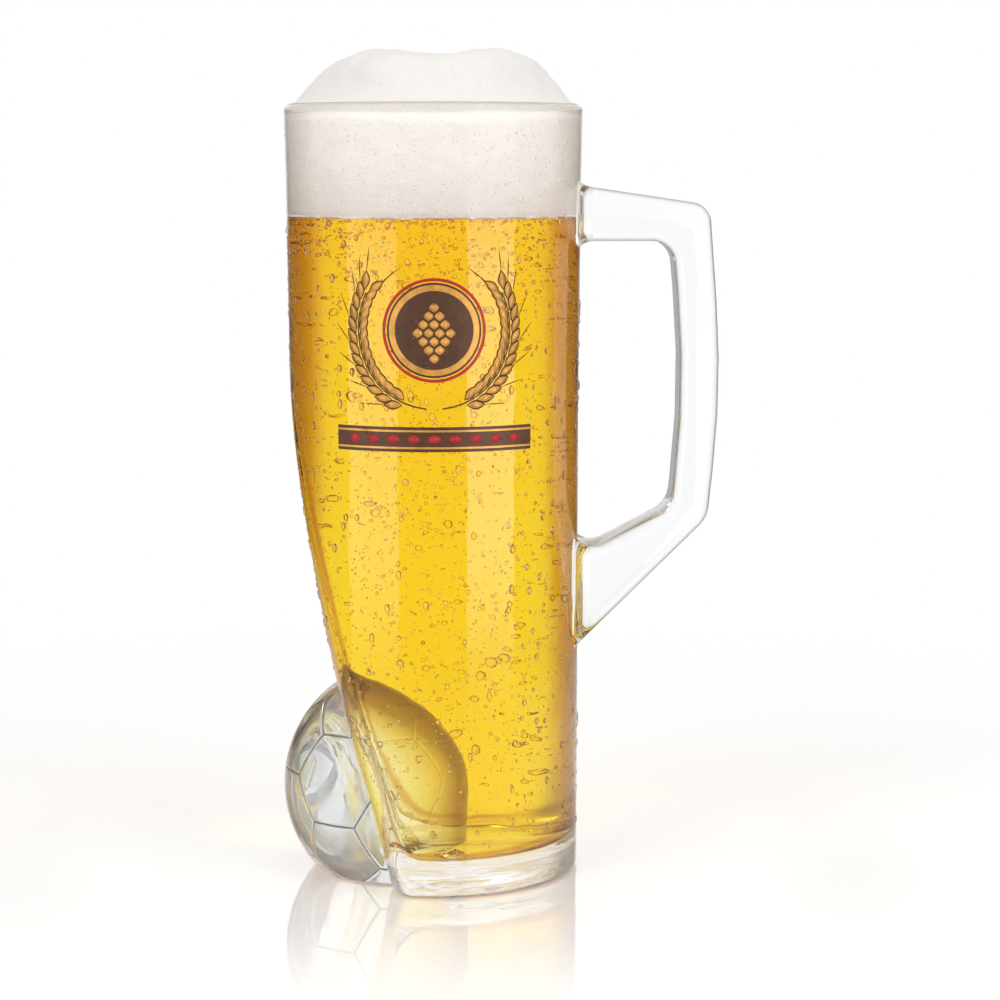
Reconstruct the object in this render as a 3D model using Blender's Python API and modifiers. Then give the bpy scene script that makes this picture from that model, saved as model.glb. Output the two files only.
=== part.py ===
"""Half-litre beer mug with a football pressed into its foot, filled with lager under a head of foam.

Metres, +Z up. The origin is on the barrel's axis at the underside of the foot. +X points to the
handle and -X to the football. Run it with: blender --background --python part.py
"""
import math

import bmesh
import bpy
from mathutils import Matrix, Vector

# Barrel and foot
HEIGHT = 0.199
BARREL_RADIUS = 0.0374
RIM_FLARE = 0.0011
FLARE_START = 0.100
WALL = 0.0035
FOOT_THICKNESS = 0.008
FOOT_EDGE_RADIUS = 0.0015
FLOOR_CORNER_RADIUS = 0.006
LIP_RADIUS = 0.0012

# Facet that leans in under the barrel, a little bowed, and carries the football
FACET_TOP = 0.146
FACET_BEND = 0.100
FACET_BEND_LEAN = math.radians(8.2)
FACET_FOOT_LEAN = math.radians(16.5)
FACET_BOW_RADIUS = 0.220
FACET_START_STEP = 0.00015
RIDGE_RADIUS = 0.010

# Football, and the glass dome behind it that bulges into the beer
BALL_RADIUS = 0.0322
BALL_OFFSET = 0.0078
BALL_HEIGHT = 0.0217
BALL_TURN = math.radians(-18.0)
SEAM_WIDTH = 0.0012
SEAM_DEPTH = 0.0005
DOME_SHIFT = 0.018

# Handle: drops are measured down from the rim, the finger gap out from the barrel
HANDLE_DEPTH = 0.020
HANDLE_EDGE_RADIUS = 0.003
FINGER_GAP = 0.0239
GRIP_THICKNESS = 0.0095
GRIP_BOW = 0.0036
GRIP_BOW_RADIUS = 0.240
GRIP_MIDDLE_DROP = 0.072
ARM_TOP_DROP = 0.0200
ARM_UNDER_DROP = 0.0345
ARM_FALL = math.radians(8.5)
BRACE_TOP_DROP = 0.1170
BRACE_UNDER_DROP = 0.1407
BRACE_TOP_RISE = math.radians(27.9)
BRACE_UNDER_RISE = math.radians(44.6)
LAND_FILLET = 0.0055
LAND_SINK = 0.0003
OUTER_TOP_FILLET = 0.0055
OUTER_LOW_FILLET = 0.0080
INNER_TOP_FILLET = 0.0060
INNER_LOW_FILLET = 0.0070

# Filling
FOAM_DEPTH = 0.0282
CROWN_HEIGHT = 0.0126
CROWN_SETBACK = 0.0012
CROWN_FLATNESS = 5.0
CROWN_SHOULDER = 1.4

# Gap between pieces that touch, and how far a cutter runs past what it cuts
GAP = 0.0003
OVERRUN = 0.010

# Facets
FACET_POINTS = 26
BARREL_POINTS = 40
LEAST_FACET_ANGLE = math.radians(30.0)
TURN_STEPS = 64
FLARE_STEPS = 5
LEAN_STEPS = 8
ARC_STEPS = 3
CROWN_STEPS = 10
DOME_STEPS = 10
EDGE_STEPS = 3
FILLET_STEP = math.radians(15.0)
PANEL_CUTS = 3
MERGE_DISTANCE = 1e-6
SHARP_ANGLE = math.radians(40.0)

# Colours: red, green, blue, alpha
GLASS_COLOUR = (0.93, 0.97, 0.96, 1.0)
BEER_COLOUR = (0.95, 0.66, 0.06, 1.0)
FOAM_COLOUR = (0.95, 0.92, 0.86, 1.0)


def clear_scene():
    for old in list(bpy.data.objects):
        bpy.data.objects.remove(old, do_unlink=True)


def new_collection(name):
    collection = bpy.data.collections.new(name)
    bpy.context.scene.collection.children.link(collection)
    return collection


def new_material(name, colour, roughness, transmission, ior):
    material = bpy.data.materials.new(name)
    material.use_nodes = True
    shader = material.node_tree.nodes["Principled BSDF"]
    shader.inputs["Base Color"].default_value = colour
    shader.inputs["Roughness"].default_value = roughness
    shader.inputs["Metallic"].default_value = 0.0
    shader.inputs["Transmission Weight"].default_value = transmission
    shader.inputs["IOR"].default_value = ior
    return material


def barrel_radius(z):
    """Outer radius of the barrel at a height: straight, then opening to the rim."""
    rise = max(0.0, z - FLARE_START) / (HEIGHT - FLARE_START)
    return BARREL_RADIUS + RIM_FLARE * rise ** 2


def facet_distance(z):
    """Distance of the facet from the axis at a height: one arc down to the bend, a flatter one below."""
    if z >= FACET_TOP:
        return math.inf
    bend_sine = math.sin(FACET_BEND_LEAN)
    upper_radius = (FACET_TOP - FACET_BEND) / bend_sine
    lower_radius = FACET_BEND / (math.sin(FACET_FOOT_LEAN) - bend_sine)
    start = barrel_radius(FACET_TOP) + FACET_START_STEP
    if z >= FACET_BEND:
        lean = math.asin((FACET_TOP - z) / upper_radius)
        return start - upper_radius * (1.0 - math.cos(lean))
    bend = start - upper_radius * (1.0 - math.cos(FACET_BEND_LEAN))
    lean = math.asin(bend_sine + (FACET_BEND - z) / lower_radius)
    return bend - lower_radius * (math.cos(FACET_BEND_LEAN) - math.cos(lean))


def section_radius(angle, z, offset):
    """Distance of the wall from the axis: the barrel, cut by the facet, with a rounded ridge between."""
    barrel = barrel_radius(z) + offset
    facet = facet_distance(z) + offset
    towards = -math.cos(angle)
    if towards <= 0.0 or facet >= barrel:
        return barrel
    bow_radius = FACET_BOW_RADIUS + offset
    bow_centre = bow_radius - facet
    across = towards * bow_centre
    bowed = math.sqrt(across ** 2 + bow_radius ** 2 - bow_centre ** 2) - across
    ridge_turn = math.acos(facet / barrel)
    blend = 4.0 * RIDGE_RADIUS * (1.0 / math.cos(ridge_turn / 2) - 1.0)
    shared = max(blend - abs(barrel - bowed), 0.0)
    return min(barrel, bowed) - shared ** 2 / (4.0 * blend)


def section_angles(z):
    """Angles of a ring's points: even along the facet, then even round the barrel, parted at the ridge."""
    ridge = math.acos(min(1.0, facet_distance(z) / barrel_radius(z)))
    half = max(ridge, LEAST_FACET_ANGLE)
    angles = []
    for step in range(FACET_POINTS):
        share = 2.0 * step / FACET_POINTS - 1.0
        angles.append(math.pi + math.atan(share * math.tan(half)))
    for step in range(BARREL_POINTS):
        angles.append(math.pi + half + 2.0 * (math.pi - half) * step / BARREL_POINTS)
    return angles


def section(z, offset):
    """One closed ring of the body's wall at a height, moved out by an offset."""
    ring = []
    for angle in section_angles(z):
        radius = section_radius(angle, z, offset)
        ring.append((radius * math.cos(angle), radius * math.sin(angle), z))
    return ring


def wall_heights(low, high):
    """Heights of the sections between two levels, from the top down."""
    steps = [HEIGHT - (HEIGHT - FLARE_START) * step / FLARE_STEPS for step in range(FLARE_STEPS + 1)]
    steps += [FACET_TOP, FACET_TOP - FACET_START_STEP]
    steps += [FACET_BEND - FACET_BEND * step / LEAN_STEPS for step in range(1, LEAN_STEPS)]
    inner = sorted({z for z in steps if low < z < high}, reverse=True)
    return [high] + inner + [low]


def wall_sections(low, high, offset):
    return [section(z, offset) for z in wall_heights(low, high)]


def quarter(steps):
    """Angles of a quarter turn."""
    return [math.pi / 2 * step / steps for step in range(steps + 1)]


def rounded_sections(low, radius, offset):
    """Sections of a round lower edge: in from the wall, then down to a flat floor."""
    edge = []
    for angle in quarter(ARC_STEPS):
        inset = radius * (1.0 - math.cos(angle))
        edge.append(section(low + radius * (1.0 - math.sin(angle)), offset - inset))
    return edge


def outer_sections():
    lip = []
    for angle in quarter(ARC_STEPS):
        inset = LIP_RADIUS * (1.0 - math.sin(angle))
        lip.append(section(HEIGHT - LIP_RADIUS * (1.0 - math.cos(angle)), -inset))
    wall = wall_sections(FOOT_EDGE_RADIUS, HEIGHT - LIP_RADIUS, 0.0)
    return lip + wall[1:-1] + rounded_sections(0.0, FOOT_EDGE_RADIUS, 0.0)


def envelope_sections(offset):
    """The outside of the body, moved out and run on past both ends."""
    wall = wall_sections(0.0, HEIGHT, offset)
    above = [(x, y, HEIGHT + OVERRUN) for x, y, z in wall[0]]
    below = [(x, y, -OVERRUN) for x, y, z in wall[-1]]
    return [above] + wall + [below]


def bore_sections(inset, floor, high):
    """The inside of the body up to a height, with the floor's round corner."""
    corner_radius = FLOOR_CORNER_RADIUS + WALL - inset
    wall = wall_sections(floor + corner_radius, high, -inset)
    return wall[:-1] + rounded_sections(floor, corner_radius, -inset)


def cavity_sections():
    """The bore, opened at the rim by the round inner edge of the lip."""
    bore = bore_sections(WALL, FOOT_THICKNESS, HEIGHT - LIP_RADIUS)
    lip = []
    for angle in quarter(ARC_STEPS):
        inset = WALL - LIP_RADIUS * (1.0 - math.sin(angle))
        lip.append(section(HEIGHT - LIP_RADIUS * (1.0 - math.cos(angle)), -inset))
    mouth = [(x, y, HEIGHT + OVERRUN) for x, y, z in lip[0]]
    return [mouth] + lip + bore[1:]


def link(item, collection):
    collection.objects.link(item)
    if collection is cutters:
        item.hide_render = True
        item.display_type = "WIRE"
    else:
        item.parent = mug_root


def turned(name, profile, collection, axis_x=0.0, steps=TURN_STEPS):
    """A profile of radius and height turned about an upright axis."""
    mesh = bpy.data.meshes.new(name)
    corners = [(radius, 0.0, z) for radius, z in profile]
    mesh.from_pydata(corners, [(i, i + 1) for i in range(len(corners) - 1)], [])
    item = bpy.data.objects.new(name, mesh)
    item.location.x = axis_x
    link(item, collection)
    screw = item.modifiers.new("turn", "SCREW")
    screw.steps = steps
    screw.render_steps = steps
    screw.use_merge_vertices = True
    screw.merge_threshold = MERGE_DISTANCE
    weld = item.modifiers.new("close", "WELD")
    weld.merge_threshold = MERGE_DISTANCE
    return item


def lofted(name, sections, collection):
    """Rings of equal count, joined from the top down and closed at both ends."""
    loft = bmesh.new()
    rings = [[loft.verts.new(place) for place in places] for places in sections]
    for upper, lower in zip(rings, rings[1:]):
        for index in range(len(upper)):
            loft.faces.new((upper[index - 1], lower[index - 1], lower[index], upper[index]))
    bmesh.ops.triangulate(loft, faces=loft.faces, quad_method="FIXED")
    loft.faces.new(rings[0])
    loft.faces.new(reversed(rings[-1]))
    bmesh.ops.recalc_face_normals(loft, faces=loft.faces)
    mesh = bpy.data.meshes.new(name)
    loft.to_mesh(mesh)
    loft.free()
    mesh.shade_smooth()
    mesh.set_sharp_from_angle(angle=SHARP_ANGLE)
    item = bpy.data.objects.new(name, mesh)
    link(item, collection)
    return item


def boolean(item, operation, other):
    modifier = item.modifiers.new(operation.lower(), "BOOLEAN")
    modifier.operation = operation
    modifier.solver = "EXACT"
    modifier.object = other


def dome_cutter(name, offset):
    """A ball that meets the floor with upright sides, so that the moulding plunger can be drawn."""
    radius = BALL_RADIUS + offset
    profile = []
    for angle in quarter(DOME_STEPS):
        profile.append((radius * math.sin(angle), BALL_HEIGHT + radius * math.cos(angle)))
    profile += [(radius, -OVERRUN), (0.0, -OVERRUN)]
    return turned(name, profile, cutters, -BALL_OFFSET - DOME_SHIFT)


def make_body():
    cavity = lofted("cavity", cavity_sections(), cutters)
    boolean(cavity, "DIFFERENCE", dome_cutter("cavity_dome", 0.0))
    body = lofted("mug_body", outer_sections(), parts)
    boolean(body, "DIFFERENCE", cavity)
    return body


def seamed_ball():
    """Twelve five-sided and twenty six-sided panels, parted by V-shaped seams, on a sphere."""
    ball = bmesh.new()
    sink = ball.verts.layers.float.new("sink")
    bmesh.ops.create_icosphere(ball, subdivisions=1, radius=BALL_RADIUS)
    bmesh.ops.bevel(ball, geom=ball.verts[:], affect="VERTICES", offset=100.0 / 3.0,
                    offset_type="PERCENT", segments=1, profile=0.5)
    seam_corners = set(ball.verts)
    bmesh.ops.inset_individual(ball, faces=ball.faces[:], thickness=SEAM_WIDTH / 2, use_even_offset=True)
    panels = [face for face in ball.faces if not seam_corners.intersection(face.verts)]
    for corner in ball.verts:
        corner[sink] = SEAM_DEPTH if corner in seam_corners else 0.0
    bmesh.ops.poke(ball, faces=panels)
    long_edges = [edge for edge in ball.edges if edge.calc_length() > 2 * SEAM_WIDTH]
    bmesh.ops.subdivide_edges(ball, edges=long_edges, cuts=PANEL_CUTS, use_grid_fill=True)
    for corner in ball.verts:
        corner.co = corner.co.normalized() * (BALL_RADIUS - corner[sink])
    return ball


def make_football():
    ball = seamed_ball()
    bmesh.ops.transform(ball, matrix=Matrix.Rotation(BALL_TURN, 4, "Z"), verts=ball.verts)
    mesh = bpy.data.meshes.new("football")
    ball.to_mesh(mesh)
    ball.free()
    football = bpy.data.objects.new("football", mesh)
    football.location = (-BALL_OFFSET, 0.0, BALL_HEIGHT)
    link(football, parts)
    reach = 4 * BALL_RADIUS
    slab = [(0.0, 0.0), (reach, 0.0), (reach, -reach), (0.0, -reach)]
    boolean(football, "DIFFERENCE", turned("floor_cut", slab, cutters, -BALL_OFFSET))
    boolean(football, "DIFFERENCE", lofted("ball_seat", envelope_sections(GAP), cutters))
    return football


def filleted(corners):
    """A closed outline whose corners, each with its own radius, are rounded by arcs."""
    outline = []
    for index, (x, z, radius) in enumerate(corners):
        corner = Vector((x, z))
        before = Vector(corners[index - 1][:2]) - corner
        after = Vector(corners[(index + 1) % len(corners)][:2]) - corner
        if radius == 0.0:
            outline.append(corner)
            continue
        half = before.angle(after) / 2
        middle = (before.normalized() + after.normalized()).normalized()
        centre = corner + middle * (radius / math.sin(half))
        first = corner + before.normalized() * (radius / math.tan(half)) - centre
        last = corner + after.normalized() * (radius / math.tan(half)) - centre
        turn = first.angle_signed(last)
        steps = max(2, math.ceil(abs(turn) / FILLET_STEP))
        for step in range(steps + 1):
            outline.append(centre + Matrix.Rotation(-turn * step / steps, 2) @ first)
    return outline


def land_distance(z):
    """How far from the axis the barrel lies at the handle's two sides, less a little sink."""
    return math.sqrt(barrel_radius(z) ** 2 - (HANDLE_DEPTH / 2) ** 2) - LAND_SINK


def handle_corners():
    """Corners of the handle's side view: down the outside, then back up round the finger gap."""
    arm_top = HEIGHT - ARM_TOP_DROP
    arm_under = HEIGHT - ARM_UNDER_DROP
    brace_top = HEIGHT - BRACE_TOP_DROP
    brace_under = HEIGHT - BRACE_UNDER_DROP
    upper_land = land_distance(arm_under)
    lower_land = land_distance(brace_top)
    upper_root = upper_land - 3 * HANDLE_EDGE_RADIUS
    lower_root = lower_land - 3 * HANDLE_EDGE_RADIUS
    inner = BARREL_RADIUS + FINGER_GAP
    outer = inner + GRIP_THICKNESS
    middle = HEIGHT - GRIP_MIDDLE_DROP
    outer_top = arm_top - math.tan(ARM_FALL) * (outer - upper_land)
    outer_low = brace_under + math.tan(BRACE_UNDER_RISE) * (outer - lower_land)
    inner_low = brace_top + math.tan(BRACE_TOP_RISE) * (inner - lower_land)
    spread = 2 * LAND_FILLET
    return [
        (upper_root, arm_top + spread, 0.0),
        (upper_land, arm_top + spread, 0.0),
        (upper_land, arm_top, LAND_FILLET),
        (outer, outer_top, OUTER_TOP_FILLET),
        (outer + GRIP_BOW, middle, GRIP_BOW_RADIUS),
        (outer, outer_low, OUTER_LOW_FILLET),
        (lower_land, brace_under, LAND_FILLET),
        (lower_land, brace_under - spread, 0.0),
        (lower_root, brace_under - spread, 0.0),
        (lower_root, brace_top + spread, 0.0),
        (lower_land, brace_top + spread, 0.0),
        (lower_land, brace_top, LAND_FILLET),
        (inner, inner_low, INNER_LOW_FILLET),
        (inner + GRIP_BOW, middle, GRIP_BOW_RADIUS),
        (inner, arm_under, INNER_TOP_FILLET),
        (upper_land, arm_under, LAND_FILLET),
        (upper_land, arm_under - spread, 0.0),
        (upper_root, arm_under - spread, 0.0),
    ]


def drawn_in(outline, inset):
    """A closed outline with every point moved in along the bisector of its two edges."""
    moved = []
    for index, place in enumerate(outline):
        before = (place - outline[index - 1]).normalized()
        after = (outline[(index + 1) % len(outline)] - place).normalized()
        inward = Vector((before.y + after.y, -before.x - after.x)).normalized()
        reach = inset / max(inward.dot(Vector((after.y, -after.x))), 0.5)
        moved.append(place + inward * reach)
    return moved


def plate_sections(outline):
    """Copies of an outline across the handle's depth, drawn in towards both faces."""
    sections = []
    for angle in quarter(EDGE_STEPS):
        inset = HANDLE_EDGE_RADIUS * (1.0 - math.sin(angle))
        across = HANDLE_DEPTH / 2 - HANDLE_EDGE_RADIUS * (1.0 - math.cos(angle))
        sections.append([(place.x, across, place.y) for place in drawn_in(outline, inset)])
    far_side = [[(x, -y, z) for x, y, z in ring] for ring in reversed(sections)]
    return sections + far_side


def make_handle():
    handle = lofted("handle", plate_sections(filleted(handle_corners())), parts)
    boolean(handle, "DIFFERENCE", lofted("handle_seat", envelope_sections(GAP), cutters))
    return handle


def make_beer():
    beer = lofted("beer", bore_sections(WALL + GAP, FOOT_THICKNESS + GAP, HEIGHT - FOAM_DEPTH), parts)
    boolean(beer, "DIFFERENCE", dome_cutter("beer_dome", GAP))
    return beer


def make_foam():
    """Foam in the neck of the barrel, and a crown that stands over the lip."""
    crown_radius = barrel_radius(HEIGHT) - CROWN_SETBACK
    floor = HEIGHT - FOAM_DEPTH + GAP
    seat = HEIGHT + GAP
    profile = []
    for angle in quarter(CROWN_STEPS):
        share = math.sin(angle)
        rise = CROWN_HEIGHT * (1.0 - share ** CROWN_FLATNESS) ** CROWN_SHOULDER
        profile.append((crown_radius * share, seat + rise))
    for z in wall_heights(floor, seat):
        profile.append((barrel_radius(z) - WALL - GAP, z))
    profile.append((0.0, floor))
    return turned("foam_head", profile, parts)


def main():
    makers = (
        (make_body, "body_glass", GLASS_COLOUR, 0.02, 1.0, 1.5),
        (make_handle, "handle_glass", GLASS_COLOUR, 0.02, 1.0, 1.5),
        (make_football, "ball_glass", GLASS_COLOUR, 0.02, 1.0, 1.5),
        (make_beer, "lager", BEER_COLOUR, 0.0, 1.0, 1.34),
        (make_foam, "foam", FOAM_COLOUR, 0.8, 0.0, 1.4),
    )
    for make, name, colour, roughness, transmission, ior in makers:
        piece = make()
        piece.data.materials.append(new_material(name, colour, roughness, transmission, ior))


clear_scene()
parts = new_collection("beer_mug")
cutters = new_collection("cutters")
mug_root = bpy.data.objects.new("mug_origin", None)
parts.objects.link(mug_root)
main()
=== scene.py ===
"""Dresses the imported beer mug: pressed glass, lager, foam, bubbles, water drops, print and a white stage.

Metres, +Z up. The origin is on the barrel's axis at the underside of the foot. +X points to the
handle, -X to the football and -Y to the camera.
"""
import math
import random

import bpy
from mathutils import Matrix, Vector, noise


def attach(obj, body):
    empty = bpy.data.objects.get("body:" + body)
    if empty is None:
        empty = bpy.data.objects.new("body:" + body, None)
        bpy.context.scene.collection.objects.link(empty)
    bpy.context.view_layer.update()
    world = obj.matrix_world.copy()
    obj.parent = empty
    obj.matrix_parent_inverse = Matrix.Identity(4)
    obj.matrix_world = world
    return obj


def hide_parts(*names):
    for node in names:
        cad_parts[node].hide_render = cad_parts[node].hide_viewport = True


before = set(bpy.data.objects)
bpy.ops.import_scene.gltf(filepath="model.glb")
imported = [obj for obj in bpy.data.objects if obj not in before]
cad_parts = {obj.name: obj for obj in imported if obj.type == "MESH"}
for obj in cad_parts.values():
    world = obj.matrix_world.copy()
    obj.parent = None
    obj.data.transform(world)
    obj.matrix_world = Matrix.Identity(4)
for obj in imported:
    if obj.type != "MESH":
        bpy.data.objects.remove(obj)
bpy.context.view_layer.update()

bl_info = {
    "name": "Beer Mug Dresser",
    "version": (1, 0, 0),
    "blender": (4, 5, 0),
    "location": "View3D > Sidebar > Beer Mug",
    "description": "Models the glass, the drink and the stage of a half-litre beer mug",
    "category": "Add Mesh",
}

BODY = "root"
FULL_TURN = 2.0 * math.pi
WHITE = (1.0, 1.0, 1.0)

# Fineness of the meshes
TURN_STEPS = 288
DOME_STEPS = 160
FOAM_STEPS = 200
CROWN_STEPS = 48
EDGE_STEPS = 4
CORNER_STEPS = 8
ARC_STEP = math.radians(5.0)
HEIGHT_STEP = 0.002
FOAM_STEP = 0.001
GLASS_SHARP = math.radians(32.0)
FOAM_SHARP = math.radians(60.0)

# Lengths under which two places are one
SAME_PLACE = 1e-5
TINY = 1e-6

# Seeds of what is scattered by chance
BUBBLE_SEED = 11
DROP_SEED = 5

# How far helping solids run past what they cut
OVERRUN = 0.010
UNDER_FLOOR = -0.005
FLOOR_CLEARANCE = 0.0003

# The skirt under the dome, in shares of its radius
SKIRT_DROP = 0.12
SKIRT_WIDTH = 0.992

# How far inside the barrel the lands and the arms of the handle start
LAND_SINK = 0.0002
ARM_SINK = 0.0003

# Limits by which a place on the glass is told apart
FLOOR_MARGIN = 0.001
DOME_MARGIN = 0.0004
BALL_MARGIN = 0.00001
HANDLE_MARGIN = 0.0004
LAND_WIDTH = 0.0040
SEAM_FROM = 0.45
SEAM_TO = 2.0

# Relief of the foam: heights, and how many lumps go to the metre
CROWN_SEAT = 0.0003
CROWN_EASE = 0.006
LUMP = 0.0008
LUMP_SCALE = 55.0
SWIRL = 0.00034
SWIRL_SCALES = (160.0, 330.0)
HUMP = 0.0007
HUMP_PLACE = 0.0155
HUMP_WIDTH = 0.0295
SAG = 0.0004
SAG_SCALE = 300.0

# Colours of clear surfaces, and the painted shade they take as they turn from facing the eye, at 0, to edge
# on, at 1
# The seams' dark tint is painted shade in the grooves of the football.
SEAM_PAINTED_SHADE = (0.11, 0.11, 0.13)
DOME_TINT = (1.0, 0.99, 0.95)
WALL_EDGE_PAINTED_SHADE = [(0.20, (0.97, 0.965, 0.98)), (0.44, (0.78, 0.76, 0.74)), (0.63, (0.58, 0.55, 0.52)),
             (0.85, (0.42, 0.39, 0.36)), (1.0, (0.5, 0.47, 0.45))]
THICK_EDGE_PAINTED_SHADE = [(0.22, (0.97, 0.965, 0.98)), (0.40, (0.70, 0.70, 0.70)), (0.56, (0.26, 0.26, 0.26)),
              (0.78, (0.11, 0.11, 0.11)), (1.0, (0.3, 0.3, 0.3))]
LAND_EDGE_PAINTED_SHADE = [(0.15, (0.80, 0.83, 0.79)), (0.45, (0.52, 0.55, 0.51)), (0.75, (0.22, 0.23, 0.21)),
             (1.0, (0.3, 0.3, 0.3))]
BALL_EDGE_PAINTED_SHADE = [(0.42, (0.85, 0.925, 1.0)), (0.56, (0.64, 0.67, 0.71)), (0.66, (0.36, 0.37, 0.39)),
             (0.80, (0.36, 0.37, 0.39)), (1.0, (0.55, 0.55, 0.57))]
LAGER_EDGE_PAINTED_SHADE = [(0.175, WHITE), (0.21, (0.97, 0.90, 0.62)), (0.24, (0.80, 0.57, 0.21)),
              (0.28, (0.62, 0.35, 0.07)), (0.34, (0.66, 0.40, 0.10)), (0.42, (0.95, 0.86, 0.58)),
              (1.0, (0.80, 0.62, 0.30))]
DOME_EDGE_PAINTED_SHADE = [(0.22, (0.93, 0.86, 0.66)), (0.46, (0.72, 0.52, 0.21)), (0.66, (0.30, 0.15, 0.03)),
             (1.0, (0.16, 0.08, 0.02))]
WATER_EDGE_PAINTED_SHADE = [(0.08, WHITE), (0.26, (0.90, 0.72, 0.36)), (0.48, (0.46, 0.26, 0.07)),
              (1.0, (0.30, 0.16, 0.04))]
BUBBLE_EDGE_PAINTED_SHADE = [(0.15, (1.0, 0.90, 0.58)), (0.45, (0.80, 0.50, 0.13)), (0.80, (0.50, 0.25, 0.05))]
# Painted reflection of the drink and the table in the foot's level streaks.
STREAKS_PAINTED_REFLECTION = [(0.45, WHITE), (0.54, (0.80, 0.60, 0.30)), (0.59, (0.94, 0.90, 0.84)), (0.64, (0.38, 0.36, 0.35)),
           (0.71, WHITE)]

# Heights from and to which the painted edge shade changes, and by how much its turning counts there
LAGER_EDGE_SHADE_FADE = (0.0, 0.16, 0.86, 1.0)
DOME_EDGE_SHADE_FADE = (0.025, 0.050, 1.0, 1.65)


# Settings

def amount(name, description, default, **kind):
    return bpy.props.FloatProperty(name=name, description=description, default=default, **kind)


def length(name, description, default, least=0.0):
    return amount(name, description, default, min=least, precision=5, subtype="DISTANCE", unit="LENGTH")


def angle(name, description, degrees):
    return amount(name, description, math.radians(degrees), subtype="ANGLE", unit="ROTATION")


def colour(name, description, default):
    return bpy.props.FloatVectorProperty(name=name, description=description, default=default, size=3,
                                         min=0.0, max=1.0, subtype="COLOR")


def count(name, description, default):
    return bpy.props.IntProperty(name=name, description=description, default=default, min=0)


class GlassShape(bpy.types.PropertyGroup):
    """Sizes of the barrel, the facet and the football"""
    height: length("Height", "From the foot's underside to the rim", 0.199)
    barrel_radius: length("Barrel radius", "Outer radius of the straight barrel", 0.0374)
    rim_flare: length("Rim flare", "How far the rim opens", 0.0011)
    flare_start: length("Flare start", "Height where the barrel starts to open", 0.100)
    wall: length("Wall", "Thickness of the wall", 0.0035)
    foot_thickness: length("Foot", "Thickness of the clear foot", 0.008)
    foot_edge: length("Foot edge", "Radius of the foot's lower edge", 0.0015)
    floor_corner: length("Floor corner", "Radius inside, between wall and floor", 0.006)
    lip_radius: length("Lip", "Radius of the lip's two edges", 0.0012)
    facet_top: length("Facet top", "Height where the facet leaves the barrel", 0.146)
    facet_bend: length("Facet bend", "Height where the facet's curve flattens", 0.100)
    facet_bend_lean: angle("Lean at the bend", "Lean of the facet at the bend", 8.2)
    facet_foot_lean: angle("Lean at the foot", "Lean of the facet at the foot", 16.5)
    facet_bow: length("Facet bow", "Radius of the facet seen from above", 0.220)
    facet_step: length("Facet step", "How far outside the barrel the facet starts", 0.00015)
    ridge_radius: length("Ridge", "Radius of the ridge between facet and barrel", 0.010)
    ball_radius: length("Ball", "Radius of the football", 0.0322)
    ball_offset: length("Ball offset", "How far the ball's centre is from the axis", 0.0078)
    ball_height: length("Ball height", "Height of the ball's centre", 0.0217)
    ball_turn: angle("Ball turn", "Turn of the ball about the upright", -18.0)
    seam_width: length("Seam width", "Half the width of the ball's seams", 0.0004)
    seam_depth: length("Seam depth", "Depth of the ball's seams", 0.00011)
    dome_shift: length("Dome shift", "How far the dome lies behind the ball", 0.018)
    tint: colour("Tint", "Colour of the glass", (0.975, 0.972, 0.99))
    cool_tint: colour("Cool tint", "Colour of the thick glass of the foot", (0.945, 0.968, 1.0))
    bend: amount("Refraction", "Refractive index of the glass", 1.5)
    mist: amount("Mist", "How much of the football's clearness its mist takes", 0.28)
    mist_tint: colour("Mist tint", "Colour of the misted football", (0.85, 0.925, 1.0))


class HandleShape(bpy.types.PropertyGroup):
    """Sizes of the handle; drops are measured down from the rim"""
    depth: length("Depth", "Depth from front to back", 0.020)
    edge: length("Edge", "Radius along the edges", 0.003)
    finger_gap: length("Finger gap", "From the barrel to the grip", 0.0239)
    grip: length("Grip", "Thickness of the grip", 0.0095)
    bow: length("Bow", "How far the grip bows out", 0.0036)
    bow_radius: length("Bow radius", "Radius of the bow", 0.240)
    middle_drop: length("Middle", "Drop to the widest place of the grip", 0.072)
    arm_top_drop: length("Arm top", "Drop to the arm's upper face", 0.0200)
    arm_under_drop: length("Arm underside", "Drop to the arm's lower face", 0.0345)
    arm_fall: angle("Arm fall", "Slope of the arm's upper face", 8.5)
    brace_top_drop: length("Brace top", "Drop to the brace's upper face", 0.1170)
    brace_under_drop: length("Brace underside", "Drop to the brace's lower face", 0.1407)
    brace_top_rise: angle("Brace rise", "Slope of the brace's upper face", 27.9)
    brace_under_rise: angle("Brace underside rise", "Slope of the brace's lower face", 44.6)
    land_fillet: length("Land fillet", "Fillet where the handle meets the barrel", 0.0055)
    land_flare: length("Land flare", "How far the handle widens at the barrel", 0.0020)
    outer_top: length("Outer top", "Fillet outside, at the top", 0.0055)
    outer_low: length("Outer low", "Fillet outside, at the bottom", 0.0080)
    inner_top: length("Inner top", "Fillet inside, at the top", 0.0060)
    inner_low: length("Inner low", "Fillet inside, at the bottom", 0.0070)


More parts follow.
